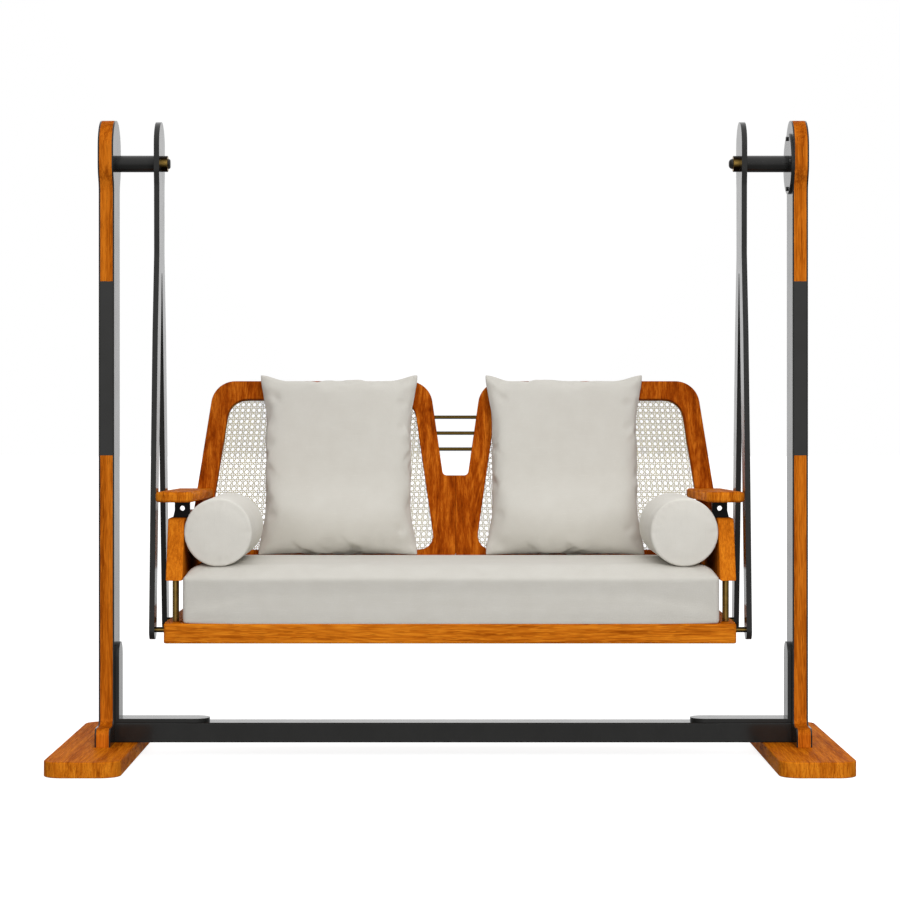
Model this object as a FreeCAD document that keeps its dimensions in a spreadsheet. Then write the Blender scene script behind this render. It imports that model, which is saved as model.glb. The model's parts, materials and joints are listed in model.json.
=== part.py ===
import FreeCAD, Part
import math
import os
import types

import Sketcher

# A free-standing porch swing: a bench with a cane back, hung by two forked steel plates from
# two axles on a post-and-foot stand.  Millimetres.  X runs along the bench, Y from front to
# back and Z up; the origin lies on the ground below the middle of the stand.

document = FreeCAD.newDocument("PorchSwing")
sheet = document.addObject("Spreadsheet::Sheet", "Sizes")

DRIVING_SIZES = (
    # foot boards and posts
    ("foot_centre", 1043),
    ("foot_width", 220),
    ("foot_length", 910),
    ("foot_thickness", 45),
    ("foot_corner", 55),
    ("foot_edge_round", 3),
    ("left_post_inner", 999),
    ("right_post_inner", 1019),
    ("post_plate", 4.5),
    ("post_core", 37),
    ("post_half_depth", 63),
    ("base_half_depth", 151),
    ("base_top", 100),
    ("base_round", 20),
    ("head_half_depth", 87),
    ("head_neck_low", 1706),
    ("head_neck_high", 1750),
    ("neck_round", 86),
    ("post_top", 1904),
    ("insert_bottom", 902),
    ("insert_top", 1420),
    ("foot_screw", 8),
    ("foot_screw_head", 16),
    ("foot_screw_recess", 8),
    ("foot_screw_top", 85),
    ("foot_screw_near", 50),
    ("foot_screw_far", 120),
    # crossbar and corner brackets
    ("bar_bottom", 45),
    ("bar_top", 104),
    ("bar_half_depth", 43),
    ("bar_wall", 4),
    ("bracket_thickness", 12),
    ("bracket_rise", 343),
    ("bracket_reach", 720),
    # axles
    ("axle_height", 1775),
    ("tube_outer", 50),
    ("tube_wall", 4),
    ("spindle", 24),
    ("spindle_head", 38),
    ("spindle_head_length", 15),
    ("stub", 16),
    ("bush_outer", 32),
    ("bush_flange", 48),
    ("bush_flange_length", 18.5),
    ("turned_edge_round", 2),
    ("running_gap", 0.05),
    ("face_gap", 0.4),
    ("fitting_gap", 0.1),
    ("washer_outer", 48),
    ("washer_thickness", 2.5),
    ("cap_width", 31),
    ("left_cap_length", 7),
    ("right_cap_length", 12),
    ("cap_thread", 4.5),
    ("flange_width", 182),
    ("flange_thickness", 7),
    ("flange_bolt_circle", 150),
    ("flange_bolt", 8),
    ("flange_bolt_head", 13),
    ("flange_bolt_head_height", 5),
    ("flange_bolt_length", 40),
    ("bolt_edge_round", 1),
    # hangers
    ("left_hanger_inner", 864),
    ("right_hanger_inner", 867),
    ("hanger_thickness", 16),
    ("hanger_head", 75),
    ("hanger_top", 1900),
    ("hanger_strip", 68),
    ("hanger_waist", 66),
    ("hanger_waist_height", 1502),
    ("hanger_fork_width", 107),
    ("hanger_fork_height", 1262),
    ("hanger_knee_width", 154),
    ("hanger_knee_height", 827),
    ("hanger_toe_outer", 196),
    ("hanger_toe_inner", 139),
    ("hanger_bottom", 365),
    ("hanger_toe_round", 26),
    ("hanger_knee_round", 2000),
    ("hanger_fork_round", 600),
    ("hanger_waist_round", 150),
    ("hanger_neck_round", 60),
    ("slit_half_width", 8),
    ("slit_top", 1447),
    ("pin", 16),
    ("pin_depth", 163),
    ("pin_height", 393),
    ("pin_in_rail", 26),
    # seat frame
    ("seat_half", 822),
    ("seat_front", 330),
    ("seat_rear", 345),
    ("seat_bottom", 368),
    ("seat_top", 425),
    ("rail_thickness", 40),
    ("rail_round", 10),
    ("slat_count", 15),
    ("slat_width", 70),
    ("slat_thickness", 18),
    ("ledger_depth", 25),
    ("ledger_height", 22),
    ("spindle_width", 19),
    ("left_side_spindle", 794.5),
    ("right_side_spindle", 798.5),
    ("side_spindle_front", 255),
    ("side_spindle_rear", 240),
    # side panels, risers and armrests
    ("panel_bottom", 547),
    ("panel_top", 724),
    ("panel_front_low", 312),
    ("panel_front_high", 249),
    ("left_panel_inner", 770),
    ("left_panel_outer", 818),
    ("right_panel_inner", 777),
    ("right_panel_outer", 823),
    ("panel_front_round", 12),
    ("board_edge_round", 4.5),
    ("left_riser", 781),
    ("right_riser", 787),
    ("riser_width", 44),
    ("riser_foot", 5),
    ("riser_foot_rise", 20),
    ("riser_thickness", 16),
    ("riser_front", 208),
    ("riser_hole", 15),
    ("riser_hole_height", 751),
    ("arm_bottom_front", 771),
    ("arm_thickness", 30),
    ("arm_fall", 1),
    ("arm_edge_round", 8),
    ("arm_inner", 744),
    ("arm_outer", 855),
    ("arm_front", 290),
    ("arm_rear", 400),
    ("arm_outer_corner", 55),
    ("arm_inner_corner", 38),
    # backrest, drawn upright and then leaned back
    ("back_centre", 17),
    ("back_front", 310),
    ("back_height", 589),
    ("back_lean", 10),
    ("back_thickness", 35),
    ("back_low_half", 846),
    ("back_high_outer", 762),
    ("back_high_inner", 82),
    ("back_low_round", 45),
    ("back_high_round", 76),
    ("notch_bottom", 288),
    ("notch_half", 39),
    ("notch_round", 14),
    ("window_bottom", 53),
    ("window_top", 531),
    ("window_low_inner", 63),
    ("window_low_outer", 781),
    ("window_high_inner", 132),
    ("window_high_outer", 712),
    ("window_low_round", 45),
    ("window_high_round", 63),
    ("back_edge_round", 3),
    ("cane_thickness", 4),
    ("rod", 11),
    ("rod_half_length", 76),
    ("rod_low", 373.7),
    ("rod_pitch", 51),
    ("dowel", 10),
    ("dowel_half_length", 30),
    ("dowel_low", 120),
    ("dowel_pitch", 90),
    ("back_spindle_end", 90),
    ("back_spindle_middle", 70),
    # blocks that trim a piece to the leaning backrest
    ("trim_margin", 10),
    ("trim_depth", 80),
    ("trim_height", 100),
    # cushions
    ("cushion_front", 325),
    ("cushion_rear", 300),
    ("cushion_top", 584),
    ("cushion_round", 26),
    ("cushion_corner", 30),
    ("soft_gap", 1),
    ("bolster", 198),
    ("bolster_gap", 4),
    ("bolster_front", 280),
    ("bolster_rear", 167),
    ("bolster_round", 8),
    ("pillow_width", 484),
    ("pillow_height", 562),
    ("pillow_thickness", 118),
    ("pillow_round", 40),
    ("pillow_edge_round", 38),
    ("pillow_left", 348),
    ("pillow_right", 357),
    ("pillow_rise", 42),
    ("pillow_clearance", 4),
)


class Size:
    """A length with the sheet expression that gives it, so features stay bound to the sheet."""

    def __init__(self, value, text):
        self.value = float(value)
        self.text = text

    def __add__(self, other):
        other = as_size(other)
        return Size(self.value + other.value, f"({self.text} + {other.text})")

    def __sub__(self, other):
        other = as_size(other)
        return Size(self.value - other.value, f"({self.text} - {other.text})")

    def __mul__(self, factor):
        return Size(self.value * factor, f"({self.text} * {factor})")

    def __truediv__(self, divisor):
        return Size(self.value / divisor, f"({self.text} / {divisor})")

    def __neg__(self):
        return Size(-self.value, f"(0 - {self.text})")

    def __radd__(self, other):
        return as_size(other) + self


def as_size(number):
    return number if isinstance(number, Size) else Size(number, repr(float(number)))


def fill_sheet():
    """Writes every driving size as a plain number with an alias and returns them by name."""
    for row, (alias, value) in enumerate(DRIVING_SIZES, start=1):
        sheet.set(f"A{row}", alias.replace("_", " "))
        sheet.set(f"B{row}", str(value))
        sheet.setAlias(f"B{row}", alias)
    document.recompute()
    return types.SimpleNamespace(**{alias: Size(sheet.get(alias), f"Sizes.{alias}")
                                    for alias, value in DRIVING_SIZES})


size = fill_sheet()
nodes = []

# Straight edge left beside a fully rounded end, so that the outline keeps every side.
STRAIGHT = 0.5
# An edge whose extent along an axis is below this lies square to that axis.
FLAT = 0.01


# ---- helpers ----------------------------------------------------------------------------

def bind(item, prop, length):
    item.setExpression(prop, as_size(length).text)


def new_body(label):
    body = document.addObject("PartDesign::Body", label)
    body.Label = label
    return body


def plane_sketch(body, role, offset=0):
    """A sketch on one of the body's own origin planes, moved along the plane's normal."""
    plane = next(item for item in body.Origin.OriginFeatures if item.Role == role)
    sketch = body.newObject("Sketcher::SketchObject", "Outline")
    sketch.AttachmentSupport = [(plane, "")]
    sketch.MapMode = "FlatFace"
    bind(sketch, ".AttachmentOffset.Base.z", offset)
    return sketch


def fix_point(sketch, geometry, end, across, up):
    """Holds one point of a sketch at two lengths of the sheet."""
    for kind, length in (("DistanceX", across), ("DistanceY", up)):
        length = as_size(length)
        constraint = Sketcher.Constraint(kind, -1, 1, geometry, end, length.value)
        index = sketch.addConstraint(constraint)
        bind(sketch, f"Constraints[{index}]", length)


def fix_radius(sketch, geometry, radius):
    radius = as_size(radius)
    index = sketch.addConstraint(Sketcher.Constraint("Radius", geometry, radius.value))
    bind(sketch, f"Constraints[{index}]", radius)


def corner_arc(before, corner, after, radius):
    """The arc that rounds a corner, its two tangent points, and whether it turns left."""
    inward = (before - corner).normalize()
    onward = (after - corner).normalize()
    half_angle = inward.getAngle(onward) / 2
    reach = radius / math.tan(half_angle)
    centre = corner + (inward + onward).normalize() * (radius / math.sin(half_angle))
    first = corner + inward * reach
    last = corner + onward * reach
    turns_left = (-inward).cross(onward).z > 0
    start, end = (first, last) if turns_left else (last, first)
    start_angle = math.atan2(start.y - centre.y, start.x - centre.x)
    end_angle = math.atan2(end.y - centre.y, end.x - centre.x)
    circle = Part.Circle(centre, FreeCAD.Vector(0, 0, 1), radius)
    return Part.ArcOfCircle(circle, start_angle, end_angle), first, last, turns_left


def draw_loop(sketch, corners):
    """A closed loop of lines; each corner is (across, up, radius), and radius 0 is sharp."""
    points = [FreeCAD.Vector(as_size(a).value, as_size(u).value, 0) for a, u, r in corners]
    count = len(corners)
    arcs = {}
    for i, (across, up, radius) in enumerate(corners):
        if as_size(radius).value > 0:
            arcs[i] = corner_arc(points[i - 1], points[i], points[(i + 1) % count],
                                 as_size(radius).value)
    lines = []
    for i in range(count):
        following = (i + 1) % count
        start = arcs[i][2] if i in arcs else points[i]
        end = arcs[following][1] if following in arcs else points[following]
        lines.append(sketch.addGeometry(Part.LineSegment(start, end)))
    for i, (across, up, radius) in enumerate(corners):
        line_in = lines[i - 1]
        line_out = lines[i]
        if i not in arcs:
            sketch.addConstraint(Sketcher.Constraint("Coincident", line_in, 2, line_out, 1))
            fix_point(sketch, line_out, 1, across, up)
            continue
        arc, first, last, turns_left = arcs[i]
        bend = sketch.addGeometry(arc)
        near_end, far_end = (1, 2) if turns_left else (2, 1)
        sketch.addConstraint(Sketcher.Constraint("Tangent", line_in, 2, bend, near_end))
        sketch.addConstraint(Sketcher.Constraint("Tangent", line_out, 1, bend, far_end))
        fix_radius(sketch, bend, radius)
        tip = sketch.addGeometry(Part.Point(points[i]), True)
        sketch.addConstraint(Sketcher.Constraint("PointOnObject", tip, 1, line_in))
        sketch.addConstraint(Sketcher.Constraint("PointOnObject", tip, 1, line_out))
        fix_point(sketch, tip, 1, across, up)


def draw_hole(sketch, across, up, diameter):
    centre = FreeCAD.Vector(as_size(across).value, as_size(up).value, 0)
    radius = as_size(diameter) / 2
    hole = sketch.addGeometry(Part.Circle(centre, FreeCAD.Vector(0, 0, 1), radius.value))
    fix_radius(sketch, hole, radius)
    fix_point(sketch, hole, 3, across, up)


def plate(label, role, corners, thickness, holes=(), windows=(), reverse=False, offset=0):
    """A flat piece: an outline with its holes and windows, padded to a thickness."""
    body = new_body(label)
    sketch = plane_sketch(body, role, offset)
    draw_loop(sketch, corners)
    for window in windows:
        draw_loop(sketch, window)
    for across, up, diameter in holes:
        draw_hole(sketch, across, up, diameter)
    pad = body.newObject("PartDesign::Pad", "Pad")
    pad.Profile = (sketch, [""])
    pad.Reversed = reverse
    bind(pad, "Length", thickness)
    sketch.Visibility = False
    return body


def turned(label, profile):
    """A round piece: a profile of (along, radius, rounding) corners turned about the X axis."""
    body = new_body(label)
    sketch = plane_sketch(body, "XZ_Plane")
    draw_loop(sketch, profile)
    turn = body.newObject("PartDesign::Revolution", "Turn")
    turn.Profile = (sketch, [""])
    turn.ReferenceAxis = (sketch, ["H_Axis"])
    turn.Angle = 360
    return body


def round_edges(body, wanted, radius):
    """Rounds the body's edges that the test picks out."""
    document.recompute()
    solid = body.Tip
    edges = [f"Edge{i}" for i, edge in enumerate(solid.Shape.Edges, start=1) if wanted(edge)]
    fillet = body.newObject("PartDesign::Fillet", "Round")
    fillet.Base = (solid, edges)
    bind(fillet, "Radius", radius)
    return body


def cylinder(label, diameter, length, axis, place=(0, 0, 0)):
    """A plain round bar along the X, Y or Z axis from its start point."""
    bar = document.addObject("Part::Cylinder", label)
    bar.Label = label
    bind(bar, "Radius", as_size(diameter) / 2)
    bind(bar, "Height", length)
    direction = {"X": FreeCAD.Vector(1, 0, 0), "Y": FreeCAD.Vector(0, 1, 0),
                 "Z": FreeCAD.Vector(0, 0, 1)}[axis]
    bar.Placement = FreeCAD.Placement(FreeCAD.Vector(0, 0, 0),
                                      FreeCAD.Rotation(FreeCAD.Vector(0, 0, 1), direction))
    move(bar, *place)
    return bar


def box(label, width, depth, height, place=(0, 0, 0)):
    block = document.addObject("Part::Box", label)
    block.Label = label
    bind(block, "Length", width)
    bind(block, "Width", depth)
    bind(block, "Height", height)
    move(block, *place)
    return block


def cut(label, base, tools):
    """The base with every tool taken away; the base keeps its own label with _blank added."""
    base.Label = f"{label}_blank"
    tool = tools[0]
    if len(tools) > 1:
        tool = document.addObject("Part::MultiFuse", f"{label}_tools")
        tool.Shapes = tools
    result = document.addObject("Part::Cut", label)
    result.Base = base
    result.Tool = tool
    result.Label = label
    return result


def group(label, pieces):
    """Separate solids under one name."""
    together = document.addObject("Part::Compound", label)
    together.Links = pieces
    together.Label = label
    return together


def move(item, x, y, z):
    for axis, length in zip("xyz", (x, y, z)):
        bind(item, f".Placement.Base.{axis}", length)
    return item


def tilt(item, angle):
    """Turns a piece about the X axis so that its top goes back and its rear goes down."""
    item.Placement = FreeCAD.Placement(FreeCAD.Vector(0, 0, 0),
                                       FreeCAD.Rotation(FreeCAD.Vector(-1, 0, 0), 1))
    bind(item, ".Placement.Rotation.Angle", angle)
    return item


def lean_back(item):
    """Sets a piece of the upright backrest drawing in its leaning place on the seat."""
    tilt(item, size.back_lean)
    return move(item, size.back_centre, size.back_front, size.panel_bottom)


def keep(item):
    nodes.append(item)
    return item


def both_ways(corners):
    """Adds the mirror image of a right-hand run of corners, from its end back to its start."""
    return list(corners) + [(-across, up, radius) for across, up, radius in reversed(corners)]


# ---- stand ------------------------------------------------------------------------------

POST_INNER = {"left": size.left_post_inner, "right": size.right_post_inner}
SIGN = {"left": -1, "right": 1}


def outward(side, near, thickness):
    """Start of a layer that begins `near` from the middle and grows outward."""
    return near if SIGN[side] > 0 else -(near + thickness)


def inward(side, far, thickness):
    """Start of a layer whose outer face is `far` from the middle."""
    return far - thickness if SIGN[side] > 0 else -far


def core_middle(side):
    middle = POST_INNER[side] + size.post_plate + size.post_core / 2
    return middle * SIGN[side]


def post_outline(bottom, top):
    """Half outline of the post between two heights; the flared base and the round head come
    in only where the stretch reaches them."""
    half = []
    if bottom is None:
        half += [(size.base_half_depth, size.foot_thickness, 0),
                 (size.base_half_depth, size.base_top, size.base_round),
                 (size.post_half_depth, size.base_top, size.base_round)]
    else:
        half += [(size.post_half_depth, bottom, 0)]
    if top is None:
        half += [(size.post_half_depth, size.head_neck_low, size.neck_round),
                 (size.head_half_depth, size.head_neck_high, size.neck_round),
                 (size.head_half_depth, size.post_top, size.head_half_depth - STRAIGHT)]
    else:
        half += [(size.post_half_depth, top, 0)]
    return both_ways(half)


def screw_rows():
    return (-size.foot_screw_far, -size.foot_screw_near, size.foot_screw_near,
            size.foot_screw_far)


def build_foot(side):
    half = size.foot_width / 2
    reach = size.foot_length / 2
    corners = both_ways([(half, -reach, size.foot_corner), (half, reach, size.foot_corner)])
    board = plate(f"{side}_foot_board", "XY_Plane", corners, size.foot_thickness)
    round_edges(board, lambda edge: edge.BoundBox.ZLength < FLAT, size.foot_edge_round)
    move(board, size.foot_centre * SIGN[side], 0, 0)
    tools = []
    for row in screw_rows():
        tools.append(cylinder("ScrewHole", size.foot_screw + size.fitting_gap * 2,
                              size.foot_thickness, "Z", (core_middle(side), row, 0)))
        tools.append(cylinder("HeadRecess", size.foot_screw_head + size.fitting_gap * 2,
                              size.foot_screw_recess, "Z", (core_middle(side), row, 0)))
    keep(cut(f"{side}_foot_board", board, tools))


def build_foot_screws(side):
    screws = []
    head = size.foot_screw_head / 2
    shank = size.foot_screw / 2
    start = size.foot_screw_recess / 4
    profile = [(start, 0, 0), (size.foot_screw_top, 0, 0), (size.foot_screw_top, shank, 0),
               (size.foot_screw_recess, shank, 0), (size.foot_screw_recess, head, 0),
               (start, head, 0)]
    for row in screw_rows():
        screw = turned("FootScrew", profile)
        screw.Placement = FreeCAD.Placement(FreeCAD.Vector(0, 0, 0),
                                            FreeCAD.Rotation(FreeCAD.Vector(0, -1, 0), 90))
        screws.append(move(screw, core_middle(side), row, 0))
    keep(group(f"{side}_foot_screws", screws))


def build_post(side):
    inner = POST_INNER[side]
    core = inner + size.post_plate
    outer = core + size.post_core
    whole = post_outline(None, None)
    axle_hole = (0, size.axle_height, size.spindle + size.fitting_gap * 2)
    bolt_holes = flange_bolt_places(side, size.flange_bolt + size.fitting_gap * 2)

    plate_out = plate(f"{side}_post_outer_plate", "YZ_Plane", whole, size.post_plate)
    keep(move(plate_out, outward(side, outer, size.post_plate), 0, 0))
    plate_in = plate(f"{side}_post_inner_plate", "YZ_Plane", whole, size.post_plate,
                     holes=[axle_hole] + bolt_holes)
    keep(move(plate_in, outward(side, inner, size.post_plate), 0, 0))

    lower = plate(f"{side}_post_lower_wood", "YZ_Plane", post_outline(None, size.insert_bottom),
                  size.post_core)
    move(lower, outward(side, core, size.post_core), 0, 0)
    pilots = [cylinder("Pilot", size.foot_screw, size.foot_screw_top - size.foot_thickness, "Z",
                       (core_middle(side), row, size.foot_thickness)) for row in screw_rows()]
    keep(cut(f"{side}_post_lower_wood", lower, pilots))

    insert = plate(f"{side}_post_steel_insert", "YZ_Plane",
                   post_outline(size.insert_bottom, size.insert_top), size.post_core)
    keep(move(insert, outward(side, core, size.post_core), 0, 0))

    upper = plate(f"{side}_post_upper_wood", "YZ_Plane", post_outline(size.insert_top, None),
                  size.post_core, holes=[axle_hole])
    move(upper, outward(side, core, size.post_core), 0, 0)
    tools = [cylinder("HeadPocket", size.spindle_head + size.fitting_gap * 2,
                      size.spindle_head_length, "X",
                      (inward(side, outer, size.spindle_head_length), 0, size.axle_height))]
    depth = size.flange_bolt_length - size.flange_thickness - size.post_plate
    for across, up, diameter in flange_bolt_places(side, size.flange_bolt):
        tools.append(cylinder("BoltPilot", diameter, depth, "X",
                              (outward(side, core, depth), across, up)))
    keep(cut(f"{side}_post_upper_wood", upper, tools))


def build_crossbar():
    depth = size.bar_half_depth
    wall = size.bar_wall
    outer = both_ways([(depth, size.bar_bottom, wall), (depth, size.bar_top, wall)])
    hollow = both_ways([(depth - wall, size.bar_bottom + wall, 0),
                        (depth - wall, size.bar_top - wall, 0)])
    bar = plate("crossbar", "YZ_Plane", outer, size.left_post_inner + size.right_post_inner,
                windows=[hollow])
    keep(move(bar, -size.left_post_inner, 0, 0))


def build_bracket(side):
    """An angle bracket with round ends: one leg up the post, one along the crossbar."""
    half = size.bar_half_depth
    inner = POST_INNER[side]
    upright = plate("Upright", "YZ_Plane",
                    both_ways([(half, size.bar_top, 0),
                               (half, size.bracket_rise, half - STRAIGHT)]), size.bracket_thickness)
    move(upright, inward(side, inner, size.bracket_thickness), 0, 0)
    sign = SIGN[side]
    run = plate("Run", "XY_Plane",
                [(inner * sign, -half, 0), (inner * sign, half, 0),
                 (size.bracket_reach * sign, half, half - STRAIGHT),
                 (size.bracket_reach * sign, -half, half - STRAIGHT)], size.bracket_thickness)
    move(run, 0, 0, size.bar_top)
    angle = document.addObject("Part::MultiFuse", f"{side}_corner_bracket")
    angle.Shapes = [upright, run]
    angle.Label = f"{side}_corner_bracket"
    keep(angle)


# ---- axles ------------------------------------------------------------------------------

HANGER_INNER = {"left": size.left_hanger_inner, "right": size.right_hanger_inner}
CAP_LENGTH = {"left": size.left_cap_length, "right": size.right_cap_length}


def flange_bolt_places(side, diameter):
    """Top, bottom, front and rear holes; only the right post carries a bolted flange."""
    if side == "left":
        return []
    reach = size.flange_bolt_circle / 2
    return [(0, size.axle_height + reach, diameter), (0, size.axle_height - reach, diameter),
            (-reach, size.axle_height, diameter), (reach, size.axle_height, diameter)]


def along_axle(side, body):
    """Turns a piece drawn outward from the bench so that it lies on its side's axle."""
    if side == "left":
        body.Placement = FreeCAD.Placement(FreeCAD.Vector(0, 0, 0),
                                           FreeCAD.Rotation(FreeCAD.Vector(0, 0, 1), 180))
    return move(body, 0, 0, size.axle_height)


def ring_profile(start, end, bore, outer):
    return [(start, bore / 2, 0), (end, bore / 2, 0), (end, outer / 2, 0), (start, outer / 2, 0)]


def build_axle(side):
    hanger_inner = HANGER_INNER[side]
    hanger_outer = hanger_inner + size.hanger_thickness
    bush_end = hanger_inner - size.bush_flange_length
    tube_end = POST_INNER[side]
    core_end = tube_end + size.post_plate + size.post_core
    loose_bore = size.spindle + size.fitting_gap * 2
    if side == "right":
        flange_start = tube_end - size.flange_thickness
        build_flange(flange_start)
        tube_end = flange_start

    washer_start = hanger_outer + size.face_gap
    washer_end = washer_start + size.washer_thickness
    washer = turned(f"{side}_thrust_washer",
                    ring_profile(washer_start, washer_end, loose_bore, size.washer_outer))
    keep(along_axle(side, washer))
    tube = turned(f"{side}_axle_tube",
                  ring_profile(washer_end, tube_end, size.tube_outer - size.tube_wall * 2,
                               size.tube_outer))
    keep(along_axle(side, tube))

    radius = size.spindle / 2
    shoulder = bush_end - size.face_gap
    stub_end = shoulder - size.cap_thread
    spindle = turned(f"{side}_axle_spindle", [
        (stub_end, 0, 0), (core_end, 0, 0), (core_end, size.spindle_head / 2, 0),
        (core_end - size.spindle_head_length, size.spindle_head / 2, 0),
        (core_end - size.spindle_head_length, radius, 0), (shoulder, radius, 0),
        (shoulder, size.stub / 2, 0), (stub_end, size.stub / 2, 0)])
    keep(along_axle(side, spindle))

    cap_end = shoulder - CAP_LENGTH[side]
    cap = turned(f"{side}_cap_nut", [
        (cap_end, 0, 0), (stub_end, 0, 0), (stub_end, size.stub / 2, 0),
        (shoulder, size.stub / 2, 0), (shoulder, size.cap_width / 2, 0),
        (cap_end, size.cap_width / 2, CAP_LENGTH[side] - STRAIGHT)])
    keep(along_axle(side, cap))

    bore = size.spindle / 2 + size.running_gap
    bush = turned(f"{side}_pivot_bush", [
        (bush_end, bore, 0), (hanger_outer, bore, 0), (hanger_outer, size.bush_outer / 2, 0),
        (hanger_inner, size.bush_outer / 2, 0), (hanger_inner, size.bush_flange / 2, 0),
        (bush_end, size.bush_flange / 2, size.turned_edge_round)])
    keep(along_axle(side, bush))


def build_flange(start):
    """The round flange on the right post and its four bolts."""
    rim = size.flange_width / 2
    flange = turned("right_axle_flange",
                    [(start, size.spindle / 2 + size.fitting_gap, 0),
                     (start + size.flange_thickness, size.spindle / 2 + size.fitting_gap, 0),
                     (start + size.flange_thickness, rim, 0),
                     (start, rim, size.turned_edge_round)])
    move(flange, 0, 0, size.axle_height)
    tools = []
    bolts = []
    shank = size.flange_bolt / 2
    head = size.flange_bolt_head / 2
    seat = start - size.flange_bolt_head_height
    tip = start + size.flange_bolt_length
    for across, up, diameter in flange_bolt_places("right", size.flange_bolt):
        tools.append(cylinder("BoltHole", diameter + size.fitting_gap * 2,
                              size.flange_thickness, "X", (start, across, up)))
        bolt = turned("FlangeBolt", [(seat, 0, 0), (tip, 0, 0), (tip, shank, 0),
                                     (start, shank, 0), (start, head, 0),
                                     (seat, head, size.bolt_edge_round)])
        bolts.append(move(bolt, 0, across, up))
    keep(cut("right_axle_flange", flange, tools))
    keep(group("right_flange_bolts", bolts))


# ---- hangers ----------------------------------------------------------------------------

def build_hanger(side):
    half = [
        (size.slit_half_width, size.slit_top, size.slit_half_width - STRAIGHT),
        (size.hanger_toe_inner, size.hanger_bottom, size.hanger_toe_round),
        (size.hanger_toe_outer, size.hanger_bottom, size.hanger_toe_round),
        (size.hanger_knee_width, size.hanger_knee_height, size.hanger_knee_round),
        (size.hanger_fork_width, size.hanger_fork_height, size.hanger_fork_round),
        (size.hanger_waist, size.hanger_waist_height, size.hanger_waist_round),
        (size.hanger_strip, size.head_neck_low, size.hanger_neck_round),
        (size.hanger_head, size.head_neck_high, size.hanger_neck_round),
        (size.hanger_head, size.hanger_top, size.hanger_head - STRAIGHT),
    ]
    holes = [(0, size.axle_height, size.bush_outer),
             (-size.pin_depth, size.pin_height, size.pin),
             (size.pin_depth, size.pin_height, size.pin)]
    hanger = plate(f"{side}_hanger", "YZ_Plane", both_ways(half), size.hanger_thickness,
                   holes=holes)
    keep(move(hanger, outward(side, HANGER_INNER[side], size.hanger_thickness), 0, 0))

    pins = []
    reach = HANGER_INNER[side] + size.hanger_thickness - size.seat_half + size.pin_in_rail
    for place in (-size.pin_depth, size.pin_depth):
        start = outward(side, size.seat_half - size.pin_in_rail, reach)
        pins.append(cylinder("HangerPin", size.pin, reach, "X", (start, place, size.pin_height)))
    keep(group(f"{side}_hanger_pins", pins))


# ---- seat frame -------------------------------------------------------------------------

def build_cross_rail(label, front, rear, rounded_rear):
    """A rail over the whole width; the two corners on the open side are rounded."""
    soft = size.rail_round
    near, far = (0, soft) if rounded_rear else (soft, 0)
    corners = [(-size.seat_half, front, near), (size.seat_half, front, near),
               (size.seat_half, rear, far), (-size.seat_half, rear, far)]
    rail = plate(label, "XY_Plane", corners, size.seat_top - size.seat_bottom)
    open_side = (rear if rounded_rear else front).value
    round_edges(rail, lambda edge: edge.BoundBox.ZLength < FLAT
                and edge.BoundBox.YLength < size.rail_round.value + 1
                and abs(edge.BoundBox.Center.y - open_side) < size.rail_round.value,
                size.board_edge_round)
    return keep(move(rail, 0, 0, size.seat_bottom))


def build_side_rail(side):
    front = size.rail_thickness - size.seat_front
    length = size.seat_rear + size.seat_front - size.rail_thickness * 2
    height = size.seat_top - size.seat_bottom
    inner = size.seat_half - size.rail_thickness
    blank = box("SideRail", size.rail_thickness, length, height,
                (outward(side, inner, size.rail_thickness), front, size.seat_bottom))
    start = outward(side, size.seat_half - size.pin_in_rail, size.pin_in_rail)
    tools = [cylinder("PinHole", size.pin, size.pin_in_rail, "X",
                      (start, place, size.pin_height))
             for place in (-size.pin_depth, size.pin_depth)]
    keep(cut(f"{side}_seat_rail", blank, tools))


def build_slats():
    front = size.rail_thickness - size.seat_front
    length = size.seat_rear + size.seat_front - size.rail_thickness * 2
    inner = size.seat_half - size.rail_thickness
    top = size.seat_top - size.slat_thickness
    count = int(size.slat_count.value)
    pitch = inner * 2 / count
    slats = []
    for i in range(count):
        middle = pitch * (i + 0.5) - inner
        slats.append(box("Slat", size.slat_width, length, size.slat_thickness,
                         (middle - size.slat_width / 2, front, top)))
    keep(group("seat_slats", slats))
    ledgers = []
    for start in (front, size.seat_rear - size.rail_thickness - size.ledger_depth):
        ledgers.append(box("Ledger", inner * 2, size.ledger_depth, size.ledger_height,
                           (-inner, start, top - size.ledger_height)))
    keep(group("slat_ledgers", ledgers))


def build_side_spindles(side):
    height = size.panel_bottom - size.seat_top
    across = {"left": -size.left_side_spindle, "right": size.right_side_spindle}[side]
    spindles = [cylinder("Spindle", size.spindle_width, height, "Z",
                         (across, place, size.seat_top))
                for place in (-size.side_spindle_front, size.side_spindle_rear)]
    keep(group(f"{side}_side_spindles", spindles))


# ---- side panels, risers and armrests ---------------------------------------------------

PANEL_INNER = {"left": size.left_panel_inner, "right": size.right_panel_inner}
PANEL_OUTER = {"left": size.left_panel_outer, "right": size.right_panel_outer}


def back_face(height):
    """How far back the backrest's leaning front face is at a height."""
    slope = math.tan(math.radians(size.back_lean.value))
    return size.back_front + (height - size.panel_bottom) * slope


def build_side_panel(side):
    corners = [(-size.panel_front_low, size.panel_bottom, 0),
               (back_face(size.panel_bottom), size.panel_bottom, 0),
               (back_face(size.panel_top), size.panel_top, 0),
               (-size.panel_front_high, size.panel_top, size.panel_front_round)]
    thickness = PANEL_OUTER[side] - PANEL_INNER[side]
    panel = plate(f"{side}_side_panel", "YZ_Plane", corners, thickness)
    rear = back_face(size.panel_bottom).value
    round_edges(panel, lambda edge: edge.BoundBox.XLength < FLAT
                and edge.BoundBox.YMin < rear - 1, size.board_edge_round)
    keep(move(panel, outward(side, PANEL_INNER[side], thickness), 0, 0))


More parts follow.
